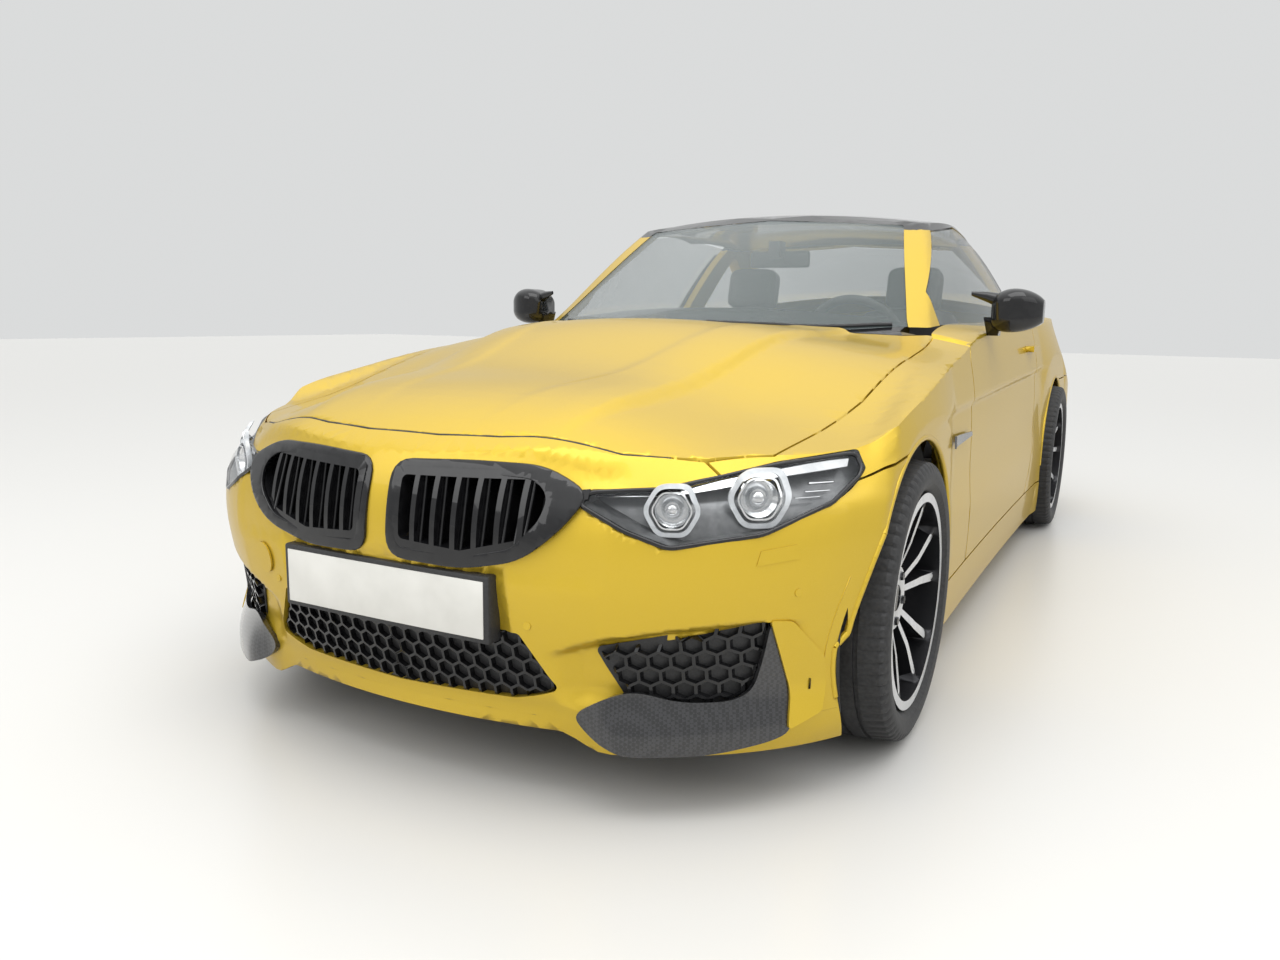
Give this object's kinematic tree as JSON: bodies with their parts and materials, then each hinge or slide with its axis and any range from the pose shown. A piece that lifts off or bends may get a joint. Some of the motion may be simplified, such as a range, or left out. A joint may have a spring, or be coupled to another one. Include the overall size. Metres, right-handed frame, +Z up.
{
  "type": "two-door sports coupe",
  "caption": "Two-door sports coupe with tall paired front grilles, black carbon roof, opening doors, bonnet and boot, and wheels that roll and steer.",
  "frame": {"origin": "centre of the plan outline, on the ground", "axes": "+Z up; -Y towards the nose; +X towards the car's left side"},
  "size_m": [2.0122, 4.6769, 1.3842],
  "materials": {
    "paint": "metallic gold-yellow lacquer",
    "carbon": "gloss carbon fibre",
    "gloss_black": "gloss black",
    "black_plastic": "matt black",
    "glazing": "clear, slightly green",
    "lamp": "clear lens",
    "tail_lamp": "red lens",
    "underbody": "dark primer",
    "iron": "bare",
    "steel": "brushed",
    "upholstery": "dark leather",
    "grip": "dark leather",
    "tyre": "black rubber",
    "rim": "dark with machined faces"
  },
  "bodies": {
    "body": {"floor_pan": "underbody", "front_structure": "underbody", "boot_tub": "underbody", "wheel_houses": "black_plastic", "engine_block": "iron", "front_subframe": "iron", "rear_subframe": "iron", "exhaust": "steel", "front_fenders": "paint", "front_bumper": "paint", "kidney_grilles": "gloss_black", "intake_meshes": "black_plastic", "front_splitter": "paint", "headlights": "lamp", "cowl": "gloss_black", "windscreen": "glazing", "rear_window": "glazing", "quarter_windows": "glazing", "roof_panel": "carbon", "roof_frame": "paint", "quarter_panels": "paint", "sills": "paint", "rear_bumper": "paint", "diffuser": "carbon", "tail_lights": "tail_lamp", "dashboard": "black_plastic", "steering_column": "black_plastic", "front_seats": "upholstery", "rear_seat": "upholstery"},
    "door_left": {"door_left": "paint", "door_glass_left": "glazing", "mirror_left": "gloss_black", "handle_left": "paint"},
    "door_right": {"door_right": "paint", "door_glass_right": "glazing", "mirror_right": "gloss_black", "handle_right": "paint"},
    "bonnet": {"bonnet": "paint"},
    "boot_lid": {"boot_lid": "paint", "boot_lamps": "tail_lamp"},
    "steering_wheel": {"steering_wheel": "grip"},
    "knuckle_left": {"knuckle_left": "iron"},
    "knuckle_right": {"knuckle_right": "iron"},
    "wheel_front_left": {"tyre_front_left": "tyre", "rim_front_left": "rim", "brake_disc_front_left": "steel"},
    "wheel_front_right": {"tyre_front_right": "tyre", "rim_front_right": "rim", "brake_disc_front_right": "steel"},
    "wheel_rear_left": {"tyre_rear_left": "tyre", "rim_rear_left": "rim", "brake_disc_rear_left": "steel"},
    "wheel_rear_right": {"tyre_rear_right": "tyre", "rim_rear_right": "rim", "brake_disc_rear_right": "steel"}
  },
  "joints": [
    {"name": "door_left_hinge", "type": "hinge", "parent": "body", "child": "door_left", "pos_m": [0.8915, -0.7941, 0.6], "axis": [0, 0, -1], "range_deg": [0, 62]},
    {"name": "door_right_hinge", "type": "hinge", "parent": "body", "child": "door_right", "pos_m": [-0.8915, -0.7941, 0.6], "axis": [0, 0, 1], "range_deg": [0, 62]},
    {"name": "bonnet_hinge", "type": "hinge", "parent": "body", "child": "bonnet", "pos_m": [0, -0.7175, 0.976], "axis": [-1, 0, 0], "range_deg": [0, 50]},
    {"name": "boot_hinge", "type": "hinge", "parent": "body", "child": "boot_lid", "pos_m": [0, 1.62, 1.09], "axis": [1, 0, 0], "range_deg": [0, 70]},
    {"name": "steer_left", "type": "hinge", "parent": "body", "child": "knuckle_left", "pos_m": [0.7, -1.5345, 0.3305], "axis": [0, 0, 1], "range_deg": [-35, 35]},
    {"name": "steer_right", "type": "hinge", "parent": "body", "child": "knuckle_right", "pos_m": [-0.7, -1.5345, 0.3305], "axis": [0, 0, 1], "range_deg": [-35, 35]},
    {"name": "steering_wheel_turn", "type": "hinge", "parent": "body", "child": "steering_wheel", "pos_m": [0.374, -0.313, 0.8851], "axis": [0, 0.9135, 0.4067], "range_deg": [-420, 420]},
    {"name": "roll_front_left", "type": "hinge", "parent": "knuckle_left", "child": "wheel_front_left", "pos_m": [0.7895, -1.5345, 0.3305], "axis": [1, 0, 0], "continuous": true},
    {"name": "roll_front_right", "type": "hinge", "parent": "knuckle_right", "child": "wheel_front_right", "pos_m": [-0.7895, -1.5345, 0.3305], "axis": [1, 0, 0], "continuous": true},
    {"name": "roll_rear_left", "type": "hinge", "parent": "body", "child": "wheel_rear_left", "pos_m": [0.8015, 1.2775, 0.3375], "axis": [1, 0, 0], "continuous": true},
    {"name": "roll_rear_right", "type": "hinge", "parent": "body", "child": "wheel_rear_right", "pos_m": [-0.8015, 1.2775, 0.3375], "axis": [1, 0, 0], "continuous": true}
  ],
  "couplings": [
    {"joint": "steer_right", "follows": "steer_left", "ratio": 1},
    {"joint": "steering_wheel_turn", "follows": "steer_left", "ratio": 12}
  ]
}
